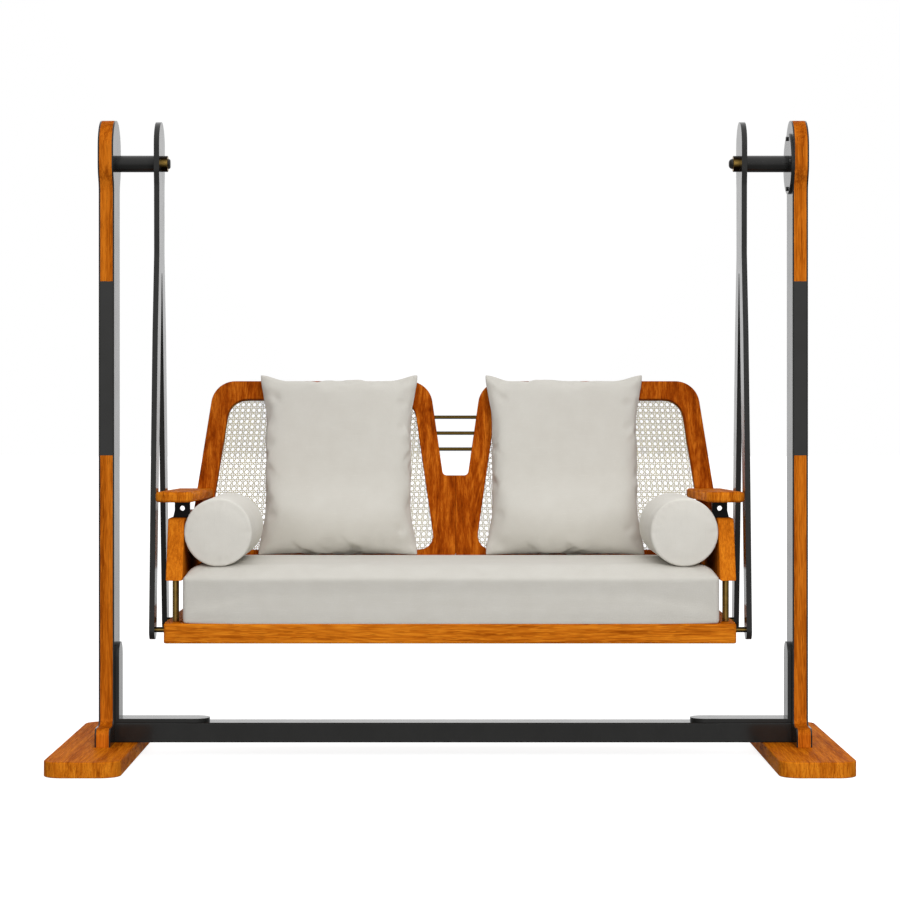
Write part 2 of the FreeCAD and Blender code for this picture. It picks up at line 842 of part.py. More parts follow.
def arm_underside(depth):
    """Height of the sloping armrest's underside at a distance behind its front end."""
    slope = math.tan(math.radians(size.arm_fall.value))
    return size.arm_bottom_front - (size.arm_front + depth) * slope


def build_riser(side):
    """A flat steel bracket with a round hole between the side panel and the armrest; its foot
    widens on the outer side."""
    middle = {"left": -size.left_riser, "right": size.right_riser}[side]
    half = size.riser_width / 2
    top = arm_underside(-size.riser_front + size.riser_thickness)
    outer = half * SIGN[side]
    foot = (half + size.riser_foot) * SIGN[side]
    corners = [(-outer, size.panel_top, 0), (foot, size.panel_top, 0),
               (outer, size.panel_top + size.riser_foot_rise, size.base_round),
               (outer, top, 0), (-outer, top, 0)]
    riser = plate(f"{side}_arm_riser", "XZ_Plane", corners, size.riser_thickness,
                  holes=[(0, size.riser_hole_height, size.riser_hole)])
    keep(move(riser, middle, size.riser_thickness - size.riser_front, 0))


def build_armrest(side):
    """A plank with a large outer front corner, falling slightly towards the back, where it is
    trimmed to meet the leaning back frame."""
    inner = size.arm_inner * SIGN[side]
    outer = size.arm_outer * SIGN[side]
    length = size.arm_front + size.arm_rear
    corners = [(inner, 0, size.arm_inner_corner), (outer, 0, size.arm_outer_corner),
               (outer, length, 0), (inner, length, 0)]
    plank = plate("Plank", "XY_Plane", corners, size.arm_thickness)
    ends = (size.arm_thickness.value, 0)
    round_edges(plank, lambda edge: edge.BoundBox.ZLength < FLAT
                and any(abs(edge.BoundBox.ZMin - level) < FLAT for level in ends),
                size.arm_edge_round)
    tilt(plank, size.arm_fall)
    move(plank, 0, -size.arm_front, size.arm_bottom_front)
    width = size.arm_outer - size.arm_inner + size.trim_margin * 2
    foot = size.panel_top
    behind = box("Behind", width, size.trim_depth, size.trim_height)
    tilt(behind, size.back_lean)
    move(behind, outward(side, size.arm_inner - size.trim_margin, width), back_face(foot), foot)
    keep(cut(f"{side}_armrest", plank, [behind]))


# ---- backrest ---------------------------------------------------------------------------

def window_corners(sign):
    return [(size.window_low_inner * sign, size.window_bottom, size.window_low_round),
            (size.window_low_outer * sign, size.window_bottom, size.window_low_round),
            (size.window_high_outer * sign, size.window_top, size.window_high_round),
            (size.window_high_inner * sign, size.window_top, size.window_high_round)]


def rod_heights():
    return [size.rod_low + size.rod_pitch * i for i in range(3)]


def dowel_heights():
    return [size.dowel_low + size.dowel_pitch * i for i in range(2)]


def cross_bars(name, diameter, half_length, heights):
    """Round bars across the seam at the middle of the frame's thickness."""
    return [cylinder(name, diameter, half_length * 2, "X",
                     (-half_length, size.back_thickness / 2, height)) for height in heights]


def build_back_frame(side):
    sign = SIGN[side]
    corners = [(as_size(0), as_size(0), size.back_low_round),
               (size.back_low_half * sign, 0, size.back_low_round),
               (size.back_high_outer * sign, size.back_height, size.back_high_round),
               (size.back_high_inner * sign, size.back_height, size.back_high_round),
               (size.notch_half * sign, size.notch_bottom, size.notch_round),
               (0, size.notch_bottom, 0)]
    frame = plate(f"{side}_back_frame", "XZ_Plane", corners, size.back_thickness,
                  windows=[window_corners(sign)], reverse=True)
    round_edges(frame, is_outer_rim, size.back_edge_round)
    tools = cross_bars("RodHole", size.rod, size.rod_half_length, rod_heights())
    tools += cross_bars("DowelHole", size.dowel, size.dowel_half_length, dowel_heights())
    keep(lean_back(cut(f"{side}_back_frame", frame, tools)))


def is_outer_rim(edge):
    """Front and back edges of the outline and the window, but not those along the seam."""
    bounds = edge.BoundBox
    on_seam = bounds.XLength < FLAT and abs(bounds.XMin) < FLAT
    return bounds.YLength < FLAT and not on_seam


def build_cane(side):
    depth = (size.back_thickness - size.cane_thickness) / 2
    panel = plate(f"{side}_cane_panel", "XZ_Plane", window_corners(SIGN[side]),
                  size.cane_thickness, reverse=True, offset=-depth)
    keep(lean_back(panel))


def build_back_fittings():
    rods = cross_bars("Rod", size.rod, size.rod_half_length, rod_heights())
    keep(lean_back(group("back_rods", rods)))
    dowels = cross_bars("Dowel", size.dowel, size.dowel_half_length, dowel_heights())
    keep(lean_back(group("back_dowels", dowels)))
    end = size.back_low_half - size.back_spindle_end
    places = [size.back_centre - end, size.back_centre - size.back_spindle_middle,
              size.back_centre + size.back_spindle_middle, size.back_centre + end]
    depth = size.back_front + size.back_thickness / 2
    posts = [cylinder("BackSpindle", size.spindle_width, size.panel_bottom - size.seat_top, "Z",
                      (place, depth, size.seat_top)) for place in places]
    reach = size.back_low_half + size.trim_margin
    above = box("AboveSill", reach * 2, size.trim_depth, size.trim_height)
    tilt(above, size.back_lean)
    move(above, -reach, size.back_front, size.panel_bottom)
    keep(cut("back_spindles", group("BackSpindles", posts), [above]))


# ---- cushions ---------------------------------------------------------------------------

def build_seat_cushion():
    left = size.left_panel_inner - size.soft_gap
    right = size.right_panel_inner - size.soft_gap * 2
    soft = size.cushion_corner
    corners = [(-left, -size.cushion_front, soft), (right, -size.cushion_front, soft),
               (right, size.cushion_rear, soft), (-left, size.cushion_rear, soft)]
    height = size.cushion_top - size.seat_top - size.soft_gap
    cushion = plate("seat_cushion", "XY_Plane", corners, height)
    round_edges(cushion, lambda edge: edge.BoundBox.ZMin > height.value - FLAT,
                size.cushion_round)
    keep(move(cushion, 0, 0, size.seat_top + size.soft_gap))


def build_bolster(side):
    inner = PANEL_INNER[side] - size.bolster_gap
    length = size.bolster_front + size.bolster_rear
    radius = size.bolster / 2
    roll = turned(f"{side}_bolster", [(0, 0, 0), (length, 0, 0),
                                      (length, radius, size.bolster_round),
                                      (0, radius, size.bolster_round)])
    roll.Placement = FreeCAD.Placement(FreeCAD.Vector(0, 0, 0),
                                       FreeCAD.Rotation(FreeCAD.Vector(0, 0, 1), 90))
    keep(move(roll, (inner - radius) * SIGN[side], -size.bolster_front,
              size.cushion_top + size.soft_gap + radius))


def build_pillow(side):
    middle = {"left": -size.pillow_left, "right": size.pillow_right}[side]
    half = size.pillow_width / 2
    start = middle - size.back_centre
    corners = [(start - half, size.pillow_rise, size.pillow_round),
               (start + half, size.pillow_rise, size.pillow_round),
               (start + half, size.pillow_rise + size.pillow_height, size.pillow_round),
               (start - half, size.pillow_rise + size.pillow_height, size.pillow_round)]
    pillow = plate(f"{side}_pillow", "XZ_Plane", corners, size.pillow_thickness,
                   offset=size.pillow_clearance)
    round_edges(pillow, lambda edge: edge.BoundBox.YLength < FLAT, size.pillow_edge_round)
    keep(lean_back(pillow))


# ---- assembly ---------------------------------------------------------------------------

def build_all():
    for side in ("left", "right"):
        build_foot(side)
        build_foot_screws(side)
        build_post(side)
        build_bracket(side)
        build_axle(side)
        build_hanger(side)
        build_side_rail(side)
        build_side_spindles(side)
        build_side_panel(side)
        build_riser(side)
        build_armrest(side)
        build_back_frame(side)
        build_cane(side)
        build_bolster(side)
        build_pillow(side)
    build_crossbar()
    build_cross_rail("front_seat_rail", -size.seat_front,
                     size.rail_thickness - size.seat_front, False)
    build_cross_rail("rear_seat_rail", size.seat_rear - size.rail_thickness, size.seat_rear,
                     True)
    build_slats()
    build_back_fittings()
    build_seat_cushion()


def check_document():
    faults = [item.Label for item in document.Objects
              if "Invalid" in item.State or "Error" in item.State]
    for node in nodes:
        if node.Shape.isNull() or not node.Shape.isValid():
            faults.append(node.Label)
    if faults:
        raise RuntimeError("these pieces failed: " + ", ".join(sorted(set(faults))))


def export_nodes():
    os.makedirs("parts", exist_ok=True)
    for node in nodes:
        node.Shape.exportStep(f"parts/{node.Label}.step")


build_all()
document.recompute()
check_document()
export_nodes()
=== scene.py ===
import bmesh
import bpy
import json
import math
import random
from mathutils import Matrix, Vector, noise


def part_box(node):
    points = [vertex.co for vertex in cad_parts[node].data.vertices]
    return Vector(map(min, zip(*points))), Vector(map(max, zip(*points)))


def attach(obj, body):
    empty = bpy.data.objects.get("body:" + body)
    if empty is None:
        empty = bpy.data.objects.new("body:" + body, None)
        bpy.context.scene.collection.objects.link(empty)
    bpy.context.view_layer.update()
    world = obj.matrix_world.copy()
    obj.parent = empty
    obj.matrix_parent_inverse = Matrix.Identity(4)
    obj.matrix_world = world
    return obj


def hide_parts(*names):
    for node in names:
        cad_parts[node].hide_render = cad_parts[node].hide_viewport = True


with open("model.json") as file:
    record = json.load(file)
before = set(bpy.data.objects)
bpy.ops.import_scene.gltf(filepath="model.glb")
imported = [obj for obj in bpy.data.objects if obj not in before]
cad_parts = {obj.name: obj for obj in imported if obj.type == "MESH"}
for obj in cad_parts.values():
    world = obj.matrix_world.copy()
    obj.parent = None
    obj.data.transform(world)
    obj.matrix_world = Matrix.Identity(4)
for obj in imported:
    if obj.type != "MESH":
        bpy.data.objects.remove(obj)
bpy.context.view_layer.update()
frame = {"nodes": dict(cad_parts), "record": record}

scene = bpy.context.scene
nodes = frame["nodes"]
slot_of = {part["node"]: part["material_slot"] for part in frame["record"]["subparts"]}
SIDES = {"left": -1, "right": 1}
BACK_LEAN = math.radians(10)

# ---- camera, light and floor ---------------------------------------------------------------

camera = bpy.data.objects.new("camera", bpy.data.cameras.new("camera"))
scene.collection.objects.link(camera)
camera.location = (0.0, -7.5, 1.067)
camera.rotation_euler = (math.radians(90), 0, 0)
camera.data.lens = 100
camera.data.sensor_width = 36
camera.data.shift_y = -0.0556
scene.camera = camera
scene.view_settings.view_transform = "Standard"


class Shader:
    """A node tree with its nodes added one at a time, each with its inputs set or linked."""

    def __init__(self, owner):
        owner.use_nodes = True
        self.tree = owner.node_tree
        self.owner = owner

    def add(self, kind, inputs=None, **settings):
        node = self.tree.nodes.new("ShaderNode" + kind)
        for key, value in settings.items():
            setattr(node, key, value)
        for key, value in (inputs or {}).items():
            self.feed(node.inputs[key], value)
        return node

    def feed(self, socket, value):
        if isinstance(value, bpy.types.NodeSocket):
            self.tree.links.new(value, socket)
        else:
            socket.default_value = value

    def sum(self, operation, first, second=0.0):
        return self.add("Math", {0: first, 1: second}, operation=operation).outputs[0]

    def noise(self, place, scale, detail, distortion=0.0):
        return self.add("TexNoise", {"Vector": place, "Scale": scale, "Detail": detail,
                                     "Distortion": distortion}).outputs["Fac"]

    def spread(self, value, low, high, to_low=0.0, to_high=1.0):
        """The value from low to high, carried over to another range and held inside it."""
        return self.add("MapRange", {"Value": value, "From Min": low, "From Max": high,
                                     "To Min": to_low, "To Max": to_high}).outputs["Result"]

    def ramp(self, value, *stops):
        node = self.add("ValToRGB", {"Fac": value})
        elements = node.color_ramp.elements
        while len(elements) < len(stops):
            elements.new(0.5)
        for element, (position, colour) in zip(elements, stops):
            element.position = position
            element.color = (*colour, 1.0)
        return node.outputs["Color"]

    def mix(self, amount, first, second, blend="MIX"):
        node = self.add("Mix", data_type="RGBA", blend_type=blend)
        self.feed(node.inputs["Factor"], amount)
        for socket, value in ((node.inputs[6], first), (node.inputs[7], second)):
            self.feed(socket, (*value, 1.0) if isinstance(value, tuple) else value)
        return node.outputs[2]


def shaded(colour, share):
    return tuple(part * share for part in colour)


SKY_BELOW = 0.22
SKY_LEVEL = 0.93
SKY_ABOVE = 1.45
SKY_LOW_HEIGHT = -0.45
SKY_SIDE_DIMMING = 0.8
SKY_BACKWARD = 0.12
SOFTBOX_POWER = 165
SOFTBOX_SIZE = 2.2
SOFTBOX_PLACE = (0.9, -5.4, 3.4)
SOFTBOX_TARGET = Vector((0.0, 0.0, 0.7))
FLOOR_REACH = 40.0
FLOOR_GREY = 0.45
FLOOR_GLOW = 0.82


def light_the_scene():
    """A surround that the camera sees plain white.  Its light is strongest from above and
    behind, and weaker from below and from both sides.  A soft light in front adds to it and
    shows in no reflection."""
    world = bpy.data.worlds.new("studio")
    scene.world = world
    sky = Shader(world)
    direction = sky.add("TexCoord").outputs["Generated"]
    parts = sky.add("SeparateXYZ", {"Vector": direction}).outputs
    height = parts["Z"]
    glow = sky.spread(height, SKY_LOW_HEIGHT, 0.0, SKY_BELOW, SKY_LEVEL)
    above = sky.spread(height, 0.0, 1.0, 0.0, SKY_ABOVE - SKY_LEVEL)
    lit = sky.sum("ADD", glow, above)
    sideways = sky.sum("MULTIPLY", sky.sum("ABSOLUTE", parts["X"]), SKY_SIDE_DIMMING)
    backward = sky.sum("MULTIPLY", parts["Y"], SKY_BACKWARD)
    balance = sky.sum("SUBTRACT", sky.sum("ADD", backward, 1.0), sideways)
    lit = sky.sum("MULTIPLY", lit, balance)
    seen = sky.add("LightPath").outputs["Is Camera Ray"]
    strength = sky.sum("MAXIMUM", lit, seen)
    sky.feed(world.node_tree.nodes["Background"].inputs["Strength"], strength)
    world.node_tree.nodes["Background"].inputs["Color"].default_value = (1, 1, 1, 1)

    softbox = bpy.data.lights.new("softbox", "AREA")
    softbox.energy = SOFTBOX_POWER
    softbox.size = SOFTBOX_SIZE
    lamp = bpy.data.objects.new("softbox", softbox)
    scene.collection.objects.link(lamp)
    lamp.visible_glossy = False
    lamp.location = SOFTBOX_PLACE
    aim = SOFTBOX_TARGET - lamp.location
    lamp.rotation_euler = aim.to_track_quat("-Z", "Y").to_euler()


def lay_floor():
    """A wide pale floor that glows a little and takes the shadows."""
    turns = ((-1, -1), (1, -1), (1, 1), (-1, 1))
    corners = [(x * FLOOR_REACH, y * FLOOR_REACH, 0) for x, y in turns]
    mesh = bpy.data.meshes.new("floor")
    mesh.from_pydata(corners, [], [(0, 1, 2, 3)])
    floor = bpy.data.objects.new("floor", mesh)
    scene.collection.objects.link(floor)
    paint = bpy.data.materials.new("floor")
    paint.use_nodes = True
    surface = paint.node_tree.nodes["Principled BSDF"]
    surface.inputs["Base Color"].default_value = (FLOOR_GREY, FLOOR_GREY, FLOOR_GREY, 1)
    surface.inputs["Roughness"].default_value = 0.9
    surface.inputs["Specular IOR Level"].default_value = 0.0
    surface.inputs["Emission Color"].default_value = (1, 1, 1, 1)
    surface.inputs["Emission Strength"].default_value = FLOOR_GLOW
    mesh.materials.append(paint)
    floor.visible_diffuse = False
    floor.visible_glossy = False


light_the_scene()
lay_floor()

# ---- materials -----------------------------------------------------------------------------


def new_material(name, roughness, specular, metallic=0.0):
    shader = Shader(bpy.data.materials.new(name))
    shader.surface = shader.tree.nodes["Principled BSDF"]
    shader.surface.inputs["Roughness"].default_value = roughness
    shader.surface.inputs["Specular IOR Level"].default_value = specular
    shader.surface.inputs["Metallic"].default_value = metallic
    shader.place = shader.add("TexCoord").outputs["Object"]
    return shader


END_GRAIN_STRETCH = 0.14
WEAR_STARTS, WEAR_FULL = 0.999, 0.86
WOOD_BANDS, WOOD_LINES, WOOD_FIBRES = 0.36, 0.14, 0.25
# multiplied into wood faces that look up: painted shade
PAINTED_TOP_SHADE = (0.74, 0.66, 0.35)
SCUFFED_COAT = (0.036, 0.036, 0.035)
WORN_COAT = (0.075, 0.075, 0.073)
CLEAN_BRASS = (0.44, 0.275, 0.070)
# brown of the tarnish, also painted as shade on faces that look up or down
TARNISH_AND_PAINTED_SHADE_BRASS = (0.014, 0.008, 0.003)
RUBBED_BRASS = (0.6, 0.44, 0.18)
DULL_STEEL = (0.42, 0.42, 0.41)
CLEAR_STEEL = (0.62, 0.62, 0.61)
RUBBED_STEEL = (0.8, 0.8, 0.8)
DEEP_NYLON = (0.012, 0.012, 0.012)
PALE_NYLON = (0.035, 0.035, 0.035)
THREAD_PITCH = 0.0011
DEEP_CLOTH = (0.735, 0.708, 0.645)
PALE_CLOTH = (0.770, 0.746, 0.685)
# darker colour between the threads: painted shade
SHADE_BETWEEN_THREADS = (0.50, 0.47, 0.42)
PALE_SLUB = (0.86, 0.84, 0.80)
DEEP_SLUB = (0.58, 0.55, 0.50)
PALE_CANE = (0.46, 0.37, 0.07)
DEEP_CANE = (0.26, 0.18, 0.03)
CANE_KNOT = (0.34, 0.22, 0.10)


def stretched(shader, along, stretch, shift=(0.0, 0.0, 0.0)):
    """The surface's own coordinates, squeezed along one axis so that patterns run along it.
    A pattern along Y is drawn out upward as well, which shows on the end grain of boards."""
    scale = [stretch if axis == along else 1.0 for axis in "XYZ"]
    if along == "Y":
        scale[2] = max(stretch, END_GRAIN_STRETCH)
    return shader.add("Mapping", {"Vector": shader.place, "Location": shift,
                                  "Scale": scale}).outputs["Vector"]


def rounded_edges(shader, radius):
    """A normal that softens sharp edges, and how worn each point near an edge is."""
    bevel = shader.add("Bevel", {"Radius": radius}, samples=4).outputs["Normal"]
    true = shader.add("NewGeometry").outputs["Normal"]
    likeness = shader.add("VectorMath", {0: bevel, 1: true}, operation="DOT_PRODUCT")
    return bevel, shader.spread(likeness.outputs["Value"], WEAR_STARTS, WEAR_FULL)


def finish_surface(shader, colour, roughness, height, depth, normal=None):
    """Wires the colour, the roughness and the relief, which is `depth` metres at most."""
    surface = shader.surface
    shader.feed(surface.inputs["Base Color"], colour)
    shader.feed(surface.inputs["Roughness"], roughness)
    bump = shader.add("Bump", {"Height": height, "Strength": 1.0, "Distance": depth})
    if normal is not None:
        shader.feed(bump.inputs["Normal"], normal)
    shader.feed(surface.inputs["Normal"], bump.outputs["Normal"])
    return shader.owner


def wood(name, along, dark, middle, light, seed, contrast=1.0, calm=1.0):
    """Wood: broad bands, growth lines, fine fibres, dark pores and pale flecks.  Upward faces
    carry painted shade, a deeper tone multiplied in.  `contrast` weighs the bands and lines,
    and a low `calm` draws the fibres out and quiets the streaks, pores and flecks."""
    shader = new_material(name, 0.5, 0.006)
    shift = [random.Random(seed + axis).uniform(0, 9) for axis in range(3)]
    grain = stretched(shader, along, 0.03 * calm, shift)
    fibre_place = stretched(shader, along, 0.025 * calm, shift)
    fleck_place = stretched(shader, along, 0.07 * calm, shift)
    bands = shader.spread(shader.noise(grain, 48, 1.0, 0.15), 0.34, 0.66)
    rings = shader.noise(stretched(shader, along, 0.06 * calm, shift), 13, 0.5, 0.3)
    lines = shader.sum("PINGPONG", shader.sum("MULTIPLY", rings, 18.0), 0.5)
    lines = shader.spread(lines, 0.05, 0.4)
    fibres = shader.spread(shader.noise(fibre_place, 300, 3.0), 0.3, 0.7)
    streaks = shader.spread(shader.noise(fleck_place, 210, 2.0, 0.1), 0.32, 0.68)
    pores = shader.spread(shader.noise(fibre_place, 1000, 1.0), 0.6, 0.7)
    flecks = shader.spread(shader.noise(fleck_place, 330, 1.0, 0.2), 0.57, 0.66)
    figure = shader.sum("MULTIPLY", bands, WOOD_BANDS * contrast)
    for part, share in ((lines, WOOD_LINES * contrast), (fibres, WOOD_FIBRES),
                        (streaks, 0.15 + 0.1 * calm)):
        figure = shader.sum("ADD", figure, shader.sum("MULTIPLY", part, share))
    figure = shader.sum("SUBTRACT", figure, 0.25 * (contrast - 1.0) - 0.05 * (1.0 - calm))
    colour = shader.ramp(figure, (0.12, dark), (0.5, middle), (0.86, light))
    colour = shader.mix(shader.sum("MULTIPLY", pores, 0.3 + 0.25 * calm), colour,
                        shaded(dark, 0.5))
    colour = shader.mix(shader.sum("MULTIPLY", flecks, 0.6 * calm), colour, light)
    # painted shade: faces that look up are multiplied darker
    facing = shader.add("TexCoord").outputs["Normal"]
    upward = shader.add("SeparateXYZ", {"Vector": facing}).outputs["Z"]
    colour = shader.mix(shader.spread(upward, 0.3, 0.9), colour, PAINTED_TOP_SHADE, "MULTIPLY")
    normal, wear = rounded_edges(shader, 0.0018)
    colour = shader.mix(shader.sum("MULTIPLY", wear, 0.25), colour, light)
    roughness = shader.spread(fibres, 0.0, 1.0, 0.62, 0.45)
    height = shader.sum("SUBTRACT", shader.sum("MULTIPLY", fibres, 0.4), pores)
    return finish_surface(shader, colour, roughness, height, 0.0002, normal)


def black_steel(name, tone, shine=0.32):
    """Satin powder coat: faint orange peel, soft blotches, light scuffs, paler worn edges."""
    shader = new_material(name, 0.14, shine)
    peel = shader.noise(shader.place, 420, 2.0)
    blotches = shader.noise(shader.place, 14, 3.0)
    scuffs = shader.spread(shader.noise(stretched(shader, "Z", 0.3), 60, 4.0, 1.0), 0.6, 0.75)
    normal, wear = rounded_edges(shader, 0.0012)
    worn = shader.sum("MULTIPLY", wear, shader.spread(blotches, 0.35, 0.65, 0.2, 0.8))
    colour = shader.mix(shader.spread(blotches, 0.3, 0.7), (tone, tone, tone * 0.95),
                        (tone + 0.005, tone + 0.005, tone + 0.004))
    colour = shader.mix(shader.sum("MULTIPLY", scuffs, 0.2), colour, SCUFFED_COAT)
    colour = shader.mix(shader.sum("MULTIPLY", worn, 0.4), colour, WORN_COAT)
    roughness = shader.sum("ADD", shader.spread(blotches, 0.3, 0.7, 0.11, 0.17),
                           shader.sum("MULTIPLY", scuffs, 0.07))
    return finish_surface(shader, colour, roughness, peel, 0.00001, normal)


def brass(name, tone=1.0):
    """Turned brass with fine tool lines and brown tarnished patches.  Where a face looks up or
    down the same dark colour is painted shade."""
    shader = new_material(name, 0.3, 0.5, metallic=1.0)
    lines = shader.noise(stretched(shader, "Y", 0.05), 900, 2.0)
    facing = shader.add("SeparateXYZ", {"Vector": shader.add("NewGeometry").outputs["Normal"]})
    painted_shade_facing = shader.sum("ABSOLUTE", facing.outputs["Z"])
    patches = shader.spread(shader.noise(shader.place, 45, 4.0), 0.42, 0.72, 0.0, 0.35)
    # the mask is real tarnish in patches plus painted shade where a face looks up or down
    tarnish_and_painted_shade = shader.sum("MAXIMUM", patches, shader.spread(painted_shade_facing, 0.08, 0.5))
    normal, wear = rounded_edges(shader, 0.0006)
    colour = shader.mix(tarnish_and_painted_shade, shaded(CLEAN_BRASS, tone), TARNISH_AND_PAINTED_SHADE_BRASS)
    colour = shader.mix(shader.sum("MULTIPLY", wear, 0.3), colour, RUBBED_BRASS)
    roughness = shader.spread(tarnish_and_painted_shade, 0.0, 1.0, 0.24, 0.42)
    return finish_surface(shader, colour, roughness, lines, 0.00004, normal)


def bright_steel():
    """Machined steel with turning lines."""
    shader = new_material("turned_steel", 0.3, 0.5, metallic=1.0)
    lines = shader.noise(stretched(shader, "Y", 0.04), 1100, 2.0)
    blotches = shader.noise(shader.place, 30, 3.0)
    colour = shader.mix(blotches, DULL_STEEL, CLEAR_STEEL)
    normal, wear = rounded_edges(shader, 0.0005)
    colour = shader.mix(shader.sum("MULTIPLY", wear, 0.3), colour, RUBBED_STEEL)
    roughness = shader.spread(blotches, 0.2, 0.8, 0.22, 0.4)
    return finish_surface(shader, colour, roughness, lines, 0.00004, normal)


def nylon():
    """Black moulded nylon with a fine spark-eroded texture."""
    shader = new_material("black_nylon", 0.55, 0.4)
    grit = shader.noise(shader.place, 1600, 2.0)
    colour = shader.mix(grit, DEEP_NYLON, PALE_NYLON)
    roughness = shader.spread(grit, 0.3, 0.7, 0.45, 0.65)
    return finish_surface(shader, colour, roughness, grit, 0.00006)


def cloth(name, tone):
    """Plain woven outdoor cloth: threads both ways with painted shade between them, slubs and
    a faint mottle.
    """
    shader = new_material(name, 0.85, 0.25)
    shader.surface.inputs["Sheen Weight"].default_value = 0.12
    shader.surface.inputs["Sheen Roughness"].default_value = 0.5
    parts = shader.add("SeparateXYZ", {"Vector": shader.place}).outputs
    down = shader.sum("ADD", parts["Y"], parts["Z"])
    turns = 2 * math.pi / THREAD_PITCH
    weft = shader.sum("SINE", shader.sum("MULTIPLY", parts["X"], turns))
    warp = shader.sum("SINE", shader.sum("MULTIPLY", down, turns))
    weave = shader.sum("MULTIPLY", weft, warp)
    mottle = shader.noise(shader.place, 16, 3.0)
    slubs, cross_slubs = (
        shader.spread(shader.noise(stretched(shader, along, 0.04), 500, 1.0), 0.6, 0.75)
        for along in "XZ")
    colour = shader.mix(shader.spread(mottle, 0.3, 0.7), shaded(DEEP_CLOTH, tone),
                        shaded(PALE_CLOTH, tone))
    # painted shade between the threads
    colour = shader.mix(shader.spread(weave, -1.0, 1.0, 0.12, 0.0), colour, SHADE_BETWEEN_THREADS)
    colour = shader.mix(shader.sum("MULTIPLY", slubs, 0.12), colour, PALE_SLUB)
    colour = shader.mix(shader.sum("MULTIPLY", cross_slubs, 0.10), colour, DEEP_SLUB)
    roughness = shader.spread(mottle, 0.3, 0.7, 0.8, 0.95)
    height = shader.sum("ADD", weave, shader.sum("ADD", slubs, cross_slubs))
    return finish_surface(shader, colour, roughness, height, 0.00012)


def cane():
    """Split cane: cream strands with soft darker patches, brown nodes and a fine roughness."""
    shader = new_material("split_cane", 0.4, 0.12)
    blotches = shader.spread(shader.noise(shader.place, 70, 3.0), 0.35, 0.7)
    fine = shader.noise(shader.place, 1400, 2.0)
    knots = shader.spread(shader.noise(shader.place, 120, 1.0), 0.7, 0.76)
    colour = shader.mix(blotches, PALE_CANE, DEEP_CANE)
    colour = shader.mix(shader.sum("MULTIPLY", knots, 0.6), colour, CANE_KNOT)
    roughness = shader.spread(blotches, 0.0, 1.0, 0.35, 0.5)
    return finish_surface(shader, colour, roughness, fine, 0.00005)


# ---- materials on the CAD nodes ------------------------------------------------------------

# dark, middle and light tone of each wood
OILED = ((0.34, 0.068, 0.002), (0.64, 0.168, 0.008), (0.89, 0.290, 0.018))
POST = ((0.285, 0.054, 0.002), (0.54, 0.130, 0.006), (0.76, 0.215, 0.014))
# the back's wood, in a deeper tone
DEEPER_BACK_WOOD = ((0.17, 0.022, 0.001), (0.37, 0.067, 0.003), (0.66, 0.175, 0.012))
PLANED = ((0.36, 0.17, 0.055), (0.55, 0.31, 0.13), (0.68, 0.43, 0.21))
# contrast and calm of the figure
FULL_FIGURE = (1.0, 1.0)
PLAIN_FIGURE = (0.5, 0.3)
BACK_FIGURE = (1.1, 0.3)
GRAIN_ALONG = {"foot_board": "Y", "front_seat_rail": "X", "rear_seat_rail": "X",
               "left_seat_rail": "Y", "right_seat_rail": "Y", "seat_slats": "Y",
               "slat_ledgers": "X", "armrest": "Y", "back_dowels": "X"}

metals = {"black_steel": black_steel("satin_black_coat", 0.016),
          "brass": brass("aged_brass"), "bright_steel": bright_steel(), "nylon": nylon()}
# painted light: the insert's coat is the black coat made lighter, and the riser's coat and the
# back rods' brass are made darker, painted shade
painted_light_copies = {"steel_insert": black_steel("insert_coat_painted_lighter", 0.028),
             "arm_riser": black_steel("riser_coat_painted_shade", 0.003, shine=0.1),
             "back_rods": brass("rod_brass_painted_shade", 0.62)}
# one cloth in three tones: the bolsters' copy is lighter, the pillows' and the seat's darker,
# painted light and shade
roll_cloth = cloth("bolster_cloth", 1.07)
pillow_cloth = cloth("pillow_cloth", 0.92)
seat_cloth = cloth("seat_cloth", 0.885)
split_cane = cane()


def paint(node_name, material):
    mesh = nodes[node_name].data
    mesh.materials.clear()
    mesh.materials.append(material)


def by_ending(name, choices, otherwise):
    return next((choice for ending, choice in choices.items() if name.endswith(ending)),
                otherwise)


for seed, (name, slot) in enumerate(sorted(slot_of.items())):
    along = by_ending(name, GRAIN_ALONG, "Z")
    painted_light_copy = by_ending(name, painted_light_copies, None)
    if painted_light_copy:
        paint(name, painted_light_copy)
    elif slot in metals:
        paint(name, metals[slot])
    elif slot == "oiled_wood":
        tones = POST if "post" in name else OILED
        figure = PLAIN_FIGURE if "side_panel" in name else FULL_FIGURE
        paint(name, wood(name + "_oak", along, *tones, seed * 3, *figure))
    elif slot == "dark_wood":
        paint(name, wood(name + "_oak", along, *DEEPER_BACK_WOOD, seed * 3, *BACK_FIGURE))
    elif slot == "plain_wood":
        paint(name, wood(name + "_pine", along, *PLANED, seed * 3, *FULL_FIGURE))

# ---- soft pieces ---------------------------------------------------------------------------

PUFF_FRAMES = 20


def piece_from(name, points, faces, material):
    mesh = bpy.data.meshes.new(name)
    mesh.from_pydata(points, [], faces)
    mesh.validate()
    item = bpy.data.objects.new(name, mesh)
    scene.collection.objects.link(item)
    item.data.materials.append(material)
    return item


def clamped(value):
    return min(1.0, max(0.0, value))


def shade_smooth(item):
    for polygon in item.data.polygons:
        polygon.use_smooth = True


def settle(item):
    """Makes the item's modifiers part of its mesh."""
    graph = bpy.context.evaluated_depsgraph_get()
    mesh = bpy.data.meshes.new_from_object(item.evaluated_get(graph))
    item.modifiers.clear()
    item.data = mesh


def remesh(item, voxel):
    step = item.modifiers.new("remesh", "REMESH")
    step.mode = "VOXEL"
    step.voxel_size = voxel
    settle(item)


def subdivide(item):
    step = item.modifiers.new("subdivision", "SUBSURF")
    step.levels = 1
    step.render_levels = 1
    shade_smooth(item)


